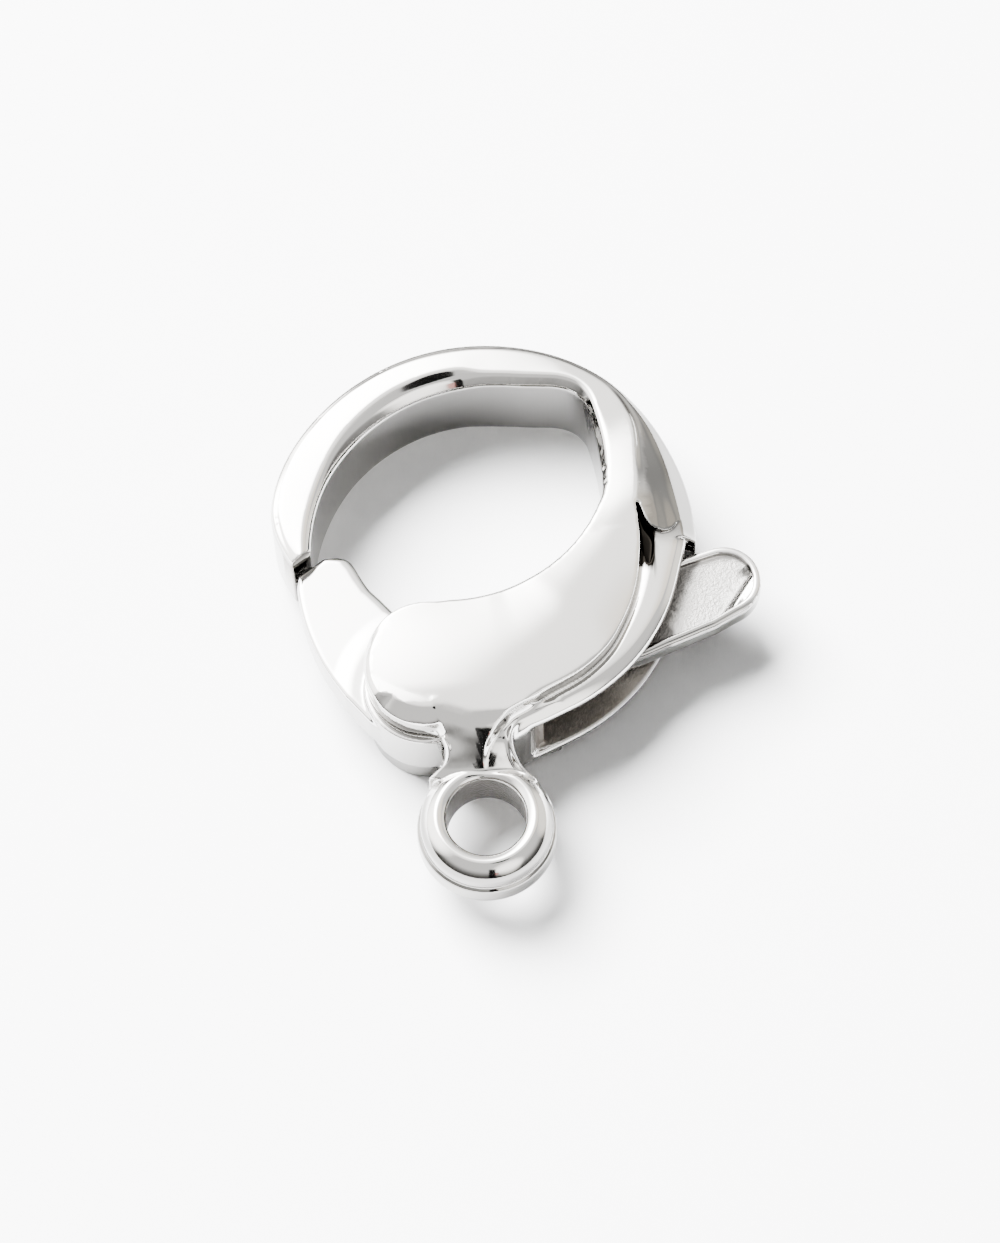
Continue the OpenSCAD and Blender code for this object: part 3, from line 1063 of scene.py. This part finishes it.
    def roll_lobe(self, places: np.ndarray) -> None:
        """Roll the lobe's outer edge over, wider towards the neck.

        Args:
            places: Vertex places, changed here.
        """
        x, y, z = places.T
        beside = np.minimum(x - self.lobe[0], 0)
        below = np.where(x < self.lobe[0], y - self.lobe[1], np.minimum(y - self.lobe[1], 0))
        out = np.hypot(beside, below)
        way = polar(x, y, self.lobe)[1] % 360
        width = 0.15 + 0.23 * ease_all(way, 212, 226)
        over = np.clip(out - (self.lobe_r - width), 0, width + 0.12)
        side = ease_all(way, 128, 165) * ease_all(-x, 0.72, 0.94)
        side *= np.clip((z - 1.15) / 0.7, 0, 1) * (out < self.lobe_r + 0.2) * (way < 300)
        places[:, 2] -= side * self.roll_slope * over
        low = np.clip(-4.3 - y, 0, 1.2) * band(x, -2.4, 1.0, 0.5) * np.clip((z - 1.3) / 0.6, 0, 1)
        places[:, 2] -= 0.045 * np.square(low)

    def nick_opening(self, places: np.ndarray, front: np.ndarray) -> None:
        """Leave the small nicks on the opening's edge where the hook meets the cheek.

        Args:
            places: Vertex places, changed here.
            front: Share of each vertex that is on the front face.
        """
        r, a = polar(*places.T[:2])
        gap = self.beyond_opening(r, a, np.linspace(20, 52, 65))
        nick = band(a, 24, 47, 5) * band(gap, -0.2, 0.13, 0.12) * front
        waves = np.square(np.sin(a * 0.55) * np.sin(a * 0.93 + 0.7))
        places[:, 2] -= nick * self.nick_depth * waves

    def blend_neck(self, piece: Piece, places: np.ndarray) -> np.ndarray:
        """Melt the neck into the cheeks and the eye.

        Args:
            piece: Gives the edges.
            places: Vertex places.

        Returns:
            The blended places.
        """
        x, y, z = places.T
        r, _ = polar(x, y)
        joint = band(y, -6.35, -4.7, 0.3) * band(x, -1.3, 1.6, 0.3) * (z > 0.6)
        groove = band(y, -5.3, -3.6, 0.4) * band(x, 0.9, 3.4, 0.4)
        groove *= band(r, 4.6, 5.3, 0.1) * (z > 1.2)
        joint = np.maximum(joint, 0.25 * groove)
        corner = band(y, -5.7, -4.7, 0.3) * band(x, -1.75, -0.45, 0.3) * (z > 0.9)
        under = band(y, -6.5, -4.7, 0.3) * band(x, -1.6, 1.4, 0.3) * (z < -0.6)
        places = neighbours_mean(piece, places, 12, joint)
        places = neighbours_mean(piece, places, 20, np.maximum(corner, under))
        flow = band(y, -6.5, -4.4, 0.4) * band(x, 0.75, 2.5, 0.3) * (z > 0.5)
        return neighbours_mean(piece, self.neck_top(places), 8, flow)

    def neck_top(self, places: np.ndarray) -> np.ndarray:
        """Lay the neck's upper skin on its exact curve.

        Args:
            places: Vertex places of the body.

        Returns:
            The same places, with the heights on the neck set.
        """
        x, y, z = places.T
        down = np.linspace(NECK.rows[0][0], NECK.rows[-1][0], 90)
        lead = 0.20 * ease_all(-x, 0.05, 0.95) * (1 - ease_all(-y, 5.5, 6.1))
        left, line, right, face, strip = (
            np.interp((lead if column == 4 else 0) - y, down, [NECK.at(d, column) for d in down])
            for column in (1, 2, 3, 4, 5)
        )
        curve = face - (face - strip) * ease_all(x - line, -0.05, 0.09)
        crown = 0.07 * np.square(x + 0.52) + 0.06 * np.square(np.clip(x - 0.3, 0, 1))
        curve -= crown * ease_all(-y, 5.0, 5.5)
        curve += 0.0010 * np.sin(21 * y + 3 * np.sin(9 * x)) * np.sin(17 * x + 4 * y)
        share = band(y, -6.30, -4.74, 0.24) * band(x, left + 0.11, right - 0.13, 0.12)
        share *= np.abs(z - curve) < 0.3
        placed = places.copy()
        placed[:, 2] += (curve - z) * share
        return placed

    def marks(self, piece: Piece) -> None:
        """Store, for the finish, where the mould's skin is and where shade is painted.

        Args:
            piece: The polished piece.
        """
        x, y, z = points_of(piece).T
        r, a = polar(x, y)
        # cast skin: the slot's walls and the eye's bore
        slot = band(z, -SLOT - 0.02, SLOT + 0.02, 0.08) * band(a, -200, 2.5, 2)
        slot *= band(r, 0, 5.22, 0.06) * band(y, -5.55, 3, 0.1)
        away, _ = polar(x, y, self.eye)
        bore = band(away, 0, self.eye_bore_r + 0.03, 0.04)
        bore *= band(z, -2, self.eye_half - 0.2, 0.06)
        gap = self.beyond_opening(r, a, np.linspace(-60, 180, 241))
        inner = band(gap, -0.3, 0.03, 0.03) * band(a, 45, 125, 30) * band(z, -2, 1.5, 0.1)
        mark(piece, "cast", np.maximum(slot, 0.8 * bore))
        # painted shade: the pocket, the bore's far wall, the tongue's facet, the lobe's foot
        pocket = band(x, 4.0, 4.6, 0.05) * band(y, -0.8, 1.15, 0.05) * band(z, 0, 1.52, 0.12)
        bore *= ease_all(y - self.eye[1], -0.3, 0.5)
        ridge = np.interp(a, (0, 14, 28, 42, 56), (4.18, 4.21, 4.62, 5.27, 5.57))
        facet = band(a, 0.5, 40, 8) * band(r, ridge + 0.22, 5.75, 0.06) * (z > 0.5)
        outer = band(a, -50, 45, 12) * band(r, 5.26, 6, 0.08) * (z > -1.9) * (y > -4.4)
        foot = band(polar(x, y, self.lobe)[1] % 360, 170, 236, 30)
        foot *= band(z, -3, -SLOT, 0.1) * (y > -5.6)
        # painted shade also darkens the hook's inner wall, the slot and the outer band
        mark(piece, "painted_shade", np.maximum.reduce([
            pocket, 0.80 * bore, 0.5 * inner, 0.4 * facet, 0.3 * slot, 0.22 * outer, 0.55 * foot,
        ]))
        # painted shade on walls, and also on the tongue, the hook's rim and the eye's foot
        tongue = band(a, 0.5, 52, 6) * band(r, ridge, 5.75, 0.06) * (z > 0.5)
        rim = band(a, 4, 165, 14) * band(r, 5.55, 6, 0.06) * (z > 0.4)
        eye_wall = band(away, self.eye_r - 0.17, 2.2, 0.14) * (y < -6.9)
        mark_wall_shade(piece, np.maximum.reduce([0.85 * tongue, rim, eye_wall]))


# ---- lever

JAW = Course((
    # reach from the pivot, inner edge and outer edge as directions from the pivot
    (1.44, 84, 252), (1.78, 97, 203), (2.16, 107, 183), (2.50, 112, 172), (2.89, 115, 163.3),
    (3.27, 117.5, 156.4), (3.66, 118.2, 150.5), (4.04, 118.4, 145.4), (4.33, 119.2, 141.8),
    (4.52, 121.7, 139.6),
))
ARM = Course((
    # distance from the pivot, upper edge, lower edge from the arm's middle line
    (1.43, 0.83, 0.73), (3.10, 0.74, 0.39), (5.12, 0.88, 1.14), (6.54, 0.96, 1.14),
    (7.55, 1.01, 1.10),
))


@dataclass
class Lever(Casting):
    """The cast lever: jaw, hub, arm and thumb tab with its tray."""

    half: float = 0.60
    hub_r: float = 1.60
    hub_half: float = 0.88
    bore_r: float = 0.54
    arm_l: float = 8.39
    arm_angle: float = 21.9
    tip_r: float = 0.98
    tray_rim: float = 0.20
    tray_depth: float = 0.22
    end_r: float = 4.69
    undercut: float = 0.28
    rim_slope: float = 0.22
    facet_slope: float = 0.9
    jaw_roll: float = 0.8
    jaw_tilt: float = 0.035
    # place of a painted dark spot on the tab
    shade_spot: Place = (6.96, -0.50)
    smoothing: int = 4
    triangles: int = 120000

    def jaw_outline(self) -> np.ndarray:
        """Plan of the jaw.

        Returns:
            The outline's points.
        """
        reach = np.linspace(1.44, 4.52, 24)
        out, side = mouth_axes()

        def point(r: float, angle: float) -> np.ndarray:
            """Point at a reach and direction from the pivot."""
            t = math.radians(angle)
            return np.array(PIVOT) + r * np.array([math.cos(t), math.sin(t)])

        inner = [point(r, JAW.at(r, 1)) for r in reach]
        outer = [point(r, JAW.at(r, 2)) for r in reach[::-1]]
        foot = np.array(PIVOT) + out * self.end_r
        end = [foot + side * 0.14, foot - side * 0.25, foot - side * 0.644]
        return np.array(inner + end + outer)

    def arm_outline(self, start: float, inset: float) -> np.ndarray:
        """Plan of the arm and tab.

        Args:
            start: Distance from the pivot at which it starts.
            inset: How far inside the real edge it runs.

        Returns:
            The outline's points.
        """
        along = np.linspace(start, 7.7, 20)
        upper = [(d, ARM.at(d, 1) - inset) for d in along]
        lower = [(d, inset - ARM.at(d, 2)) for d in along[::-1]]
        turn = np.radians(np.linspace(88, -88, 40))
        tip = np.column_stack([
            self.arm_l + (self.tip_r - inset) * np.cos(turn), (self.tip_r - inset) * np.sin(turn)
        ])
        flat = np.vstack([upper, tip, lower])
        a = math.radians(self.arm_angle)
        spin = np.array([[math.cos(a), math.sin(a)], [-math.sin(a), math.cos(a)]])
        return flat @ spin + np.array(PIVOT)

    def blank(self) -> Piece:
        """All the blanks joined, with the tray and the bore cut.

        Returns:
            The joined blank.
        """
        lever = plate("jaw", self.jaw_outline(), -self.half, self.half, 0.11)
        arm = plate("arm", self.arm_outline(1.43, 0.0), -self.half, self.half, 0.07)
        hub = rod("hub", PIVOT, self.hub_r, -self.hub_half, self.hub_half)
        combine(lever, [arm, hub], "UNION")
        tray = plate("tray", self.arm_outline(5.12, self.tray_rim), self.half - self.tray_depth, 2)
        bore = rod("bore", PIVOT, self.bore_r, -2, 2)
        combine(lever, [tray, bore], "DIFFERENCE")
        return lever

    def arm_axes(self, x: np.ndarray, y: np.ndarray) -> tuple[np.ndarray, np.ndarray]:
        """Distances from the pivot along the arm and across it."""
        a, dx, dy = math.radians(self.arm_angle), x - PIVOT[0], y - PIVOT[1]
        return dx * math.cos(a) + dy * math.sin(a), dy * math.cos(a) - dx * math.sin(a)

    def polish(self, piece: Piece) -> None:
        """Round the tab's underside and roll the jaw's inner edge.

        Args:
            piece: The fused lever.
        """
        places = points_of(piece)
        x, y, z = places.T
        a = math.radians(self.arm_angle)
        along, across = self.arm_axes(x, y)
        in_ = self.undercut * np.square(np.clip(-z / self.half, 0, 1)) * ease_all(along, 4.6, 5.6)
        drop = self.rim_slope * np.clip(-across - 0.75, 0, 0.5)
        drop *= (z > 0.5) * ease_all(along, 4.8, 5.4)
        facet = (x - 6.46) * 0.857 - (y + 1.48) * 0.516
        floor = self.half - self.tray_depth
        floor += np.clip(self.facet_slope * facet, 0, self.tray_depth - 0.03)
        inside = (z > 0.3) * (facet > 0) * (np.abs(across) < 0.86) * (along < self.arm_l + 0.86)
        lift = np.clip(floor - z, 0, 1) * inside
        across = across * (1 - in_)
        along = along - in_ * np.maximum(along - self.arm_l, 0)
        reach, turn = polar(x, y, PIVOT)
        turn %= 360
        rows = np.array(JAW.rows)
        edge = np.radians(turn - np.interp(reach, rows[:, 0], rows[:, 1])) * reach
        jaw = ease_all(reach, 1.9, 2.5) * (turn > 80) * (turn < 250) * np.clip(z / self.half, 0, 1)
        places[:, 0] = PIVOT[0] + along * math.cos(a) - across * math.sin(a)
        places[:, 1] = PIVOT[1] + along * math.sin(a) + across * math.cos(a)
        places[:, 2] += lift - drop
        places[:, 2] -= jaw * self.jaw_roll * np.square(np.clip(0.30 - edge, 0, 0.4))
        places[:, 2] -= jaw * self.jaw_tilt * np.clip(-2.2 - x, 0, 3)
        under = (z < 0.25) * ease_all(along, 4.4, 5.0)
        put_points(piece, neighbours_mean(piece, places, 16, under))

    def marks(self, piece: Piece) -> None:
        """Store, for the finish, where the mould's skin is and where shade is painted.

        Args:
            piece: The polished piece.
        """
        x, y, z = points_of(piece).T
        along, across = self.arm_axes(x, y)
        floor = self.half - self.tray_depth
        mark(piece, "cast", band(along, 5.2, 20, 0.1) * band(z, floor - 0.1, floor + 0.05, 0.08))
        # painted shade on the tray floor beside the cheek, and a painted dark spot on the tab
        beyond = x - np.interp(y, (-1.85, -0.10), (5.05, 5.79)) + 0.04 * np.sin(9 * y)
        tray_shade = 0.74 * band(beyond, -2, 0, 0.12) * band(z, floor - 0.1, floor + 0.10, 0.08)
        shade_spot = band(polar(x, y, self.shade_spot)[0], -1, 0.15, 0.08) * (z > 0.3)
        mark(piece, "painted_shade", np.maximum(tray_shade, 0.9 * shade_spot))
        # painted shade on walls, more on the tab's lower side
        mark_wall_shade(piece, 0.75 * band(across, -3, -0.82, 0.1) * ease_all(along, 4.8, 5.4))


# ---- studio


@dataclass(frozen=True)
class Glow:
    """Soft round patch of the surround, brighter or darker than the rest."""

    toward: tuple[float, float, float]
    inner: float
    outer: float
    colour: Tone


SKY = (
    Glow((-0.15, 0.45, 0.88), 12, 50, (3.6, 3.55, 3.45)),
    Glow((-0.82, 0.25, 0.50), 16, 46, (7.0, 6.9, 6.7)),
    Glow((-0.40, 0.52, 0.755), 3, 28, (28.0, 27.8, 27.3)),
    Glow((0.45, 0.38, 0.80), 6, 18, (2.6, 2.4, 2.1)),
    Glow((0.88, 0.42, 0.24), 14, 30, (2.3, 2.2, 2.0)),
    Glow((0.45, -0.75, 0.42), 8, 24, (4.6, 4.5, 4.3)),
    Glow((0.20, -0.93, 0.26), 2.0, 4.5, (1.5, 0.75, 0.68)),
    Glow((0.18, -0.33, 0.927), 7.6, 8.8, BLACK),
)


@dataclass
class Studio:
    """Pale floor, soft light and the camera."""

    tilt: float = 23.0
    turn: float = 4.0
    distance: float = 0.180
    aim: tuple[float, float, float] = (-0.000414, 0.000055, 0.00205)
    lens: float = 246.2
    horizon: float = 0.15
    overhead: float = 1.3
    column_x: float = 0.115
    key_watts: float = 28.0
    fill_watts: float = 4.4

    def camera(self) -> None:
        """Camera at the photograph's angle."""
        t, a = math.radians(self.tilt), math.radians(self.turn)
        back = Vector((math.sin(t) * math.sin(a), -math.sin(t) * math.cos(a), math.cos(t)))
        across = (Vector((1, 0, 0)) - back * back.x).normalized()
        up = back.cross(across)
        data = bpy.data.cameras.new("camera")
        data.lens, data.sensor_width, data.sensor_fit = self.lens, 36.0, "HORIZONTAL"
        data.clip_start, data.clip_end = 0.01, 10.0
        camera = bpy.data.objects.new("camera", data)
        bpy.context.scene.collection.objects.link(camera)
        turned = Matrix((across, up, back)).transposed().to_4x4()
        camera.matrix_world = Matrix.Translation(Vector(self.aim) + back * self.distance) @ turned
        bpy.context.scene.camera = camera

    def floor(self) -> None:
        """Pale matt floor."""
        deselect()
        bpy.ops.mesh.primitive_plane_add(size=4.0, location=(0, 0, 0))
        floor = bpy.context.object
        floor.name = "floor"
        material = bpy.data.materials.new("paper")
        material.use_nodes = True
        shader = material.node_tree.nodes["Principled BSDF"]
        shader.inputs["Base Color"].default_value = (0.92, 0.92, 0.925, 1)
        shader.inputs["Roughness"].default_value = 0.95
        shader.inputs["Specular IOR Level"].default_value = 0.1
        floor.data.materials.append(material)

    def soft_box(self, name: str, place: Vector, size: float, power: float) -> None:
        """Square soft light that faces the clasp and isn't mirrored in it.

        Args:
            name: Name of the light.
            place: Where it stands, in metres.
            size: Side of its face.
            power: Its strength in watts.
        """
        data = bpy.data.lights.new(name, "AREA")
        data.size, data.energy = size, power
        lamp = bpy.data.objects.new(name, data)
        bpy.context.scene.collection.objects.link(lamp)
        lamp.location = place
        lamp.rotation_mode = "QUATERNION"
        lamp.rotation_quaternion = (-place).to_track_quat("-Z", "Y")
        lamp.visible_glossy = False

    def sky(self) -> None:
        """Surround of a light tent: dim at the horizon, with glows and one dark column."""
        world = bpy.data.worlds.new("surround")
        world.use_nodes = True
        bpy.context.scene.world = world
        tree = world.node_tree
        place = add_node(tree, "TexCoord", {}).outputs["Generated"]
        parts = add_node(tree, "SeparateXYZ", {"Vector": place}).outputs
        rise = ramp(tree, parts["Z"], 0.02, 0.50, "SMOOTHSTEP")
        low, high = self.horizon, self.overhead
        colour = blend(
            tree, rise, (low, low * 0.97, low * 0.93), (high, high * 0.99, high * 0.97)
        )
        for glow in SKY:
            toward = Vector(glow.toward).normalized()
            along = add_node(tree, "VectorMath", {0: place, 1: toward}, operation="DOT_PRODUCT")
            inner, outer = (math.cos(math.radians(a)) for a in (glow.inner, glow.outer))
            share = ramp(tree, along.outputs["Value"], outer, inner, "SMOOTHSTEP")
            colour = blend(tree, share, colour, glow.colour)
        side = add_node(tree, "Math", {0: parts["X"], 1: self.column_x}, operation="SUBTRACT")
        away = add_node(tree, "Math", {0: side.outputs["Value"]}, operation="ABSOLUTE")
        gap = ramp(tree, away.outputs["Value"], 0.080, 0.066)
        south = ramp(tree, parts["Y"], -0.79, -0.85)
        column = add_node(tree, "Math", {0: gap, 1: south}, operation="MULTIPLY")
        colour = blend(tree, column.outputs["Value"], colour, BLACK)
        tree.links.new(colour, tree.nodes["Background"].inputs["Color"])
        world.cycles_visibility.diffuse = False

    def build(self) -> None:
        """The whole studio."""
        self.camera()
        self.floor()
        self.soft_box("key", Vector((-0.40, 0.41, 0.82)) * 0.45, 0.30, self.key_watts)
        self.soft_box("fill", Vector((0.05, 0.0, 0.80)), 1.0, self.fill_watts)
        self.sky()


def main() -> None:
    """Build the clasp and its studio."""
    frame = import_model()
    Studio().build()
    across, along, _ = frame["joints"][0]["pos_m"]
    offset = Vector((across / MM - PIVOT[0], along / MM - PIVOT[1], HALF_THICK))
    set_down(Body().build(BODY_STEEL), "clasp_body", "body", "body", offset)
    set_down(Lever().build(LEVER_STEEL), "clasp_lever", "lever", "lever", offset)
    wear(frame["nodes"]["pivot_pin"], PIN_STEEL.build())


if __name__ == "__main__":
    logging.basicConfig(level=logging.INFO, format="%(message)s")
    main()
